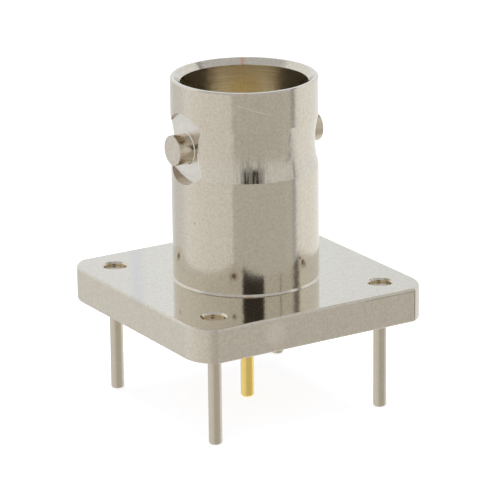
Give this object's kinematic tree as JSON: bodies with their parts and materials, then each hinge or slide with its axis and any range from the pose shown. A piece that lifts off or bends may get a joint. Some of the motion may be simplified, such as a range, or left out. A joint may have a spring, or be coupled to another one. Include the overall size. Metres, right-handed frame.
{
  "type": "bnc connector",
  "caption": "Upright coaxial bayonet jack for a circuit board: open barrel with side lugs on a square flange, a gilt centre contact with a solder pin, and round ground posts.",
  "frame": {"origin": "centre of the flange's underside, on the axis of the barrel", "axes": "+Z along the barrel out of the mating mouth, X through the bayonet lugs"},
  "size_m": [0.0176, 0.0176, 0.0221],
  "materials": {
    "nickel_plated_brass": "bright nickel plating over fine turning marks",
    "fluoropolymer": "smooth translucent white",
    "gold_plated_brass": "gold plating"
  },
  "bodies": {
    "root": {"body": "nickel_plated_brass", "front_insulator": "fluoropolymer", "rear_insulator": "fluoropolymer", "retaining_ring": "nickel_plated_brass", "centre_contact": "gold_plated_brass", "ground_post_1": "nickel_plated_brass", "ground_post_2": "nickel_plated_brass", "ground_post_3": "nickel_plated_brass", "ground_post_4": "nickel_plated_brass"}
  },
  "joints": []
}
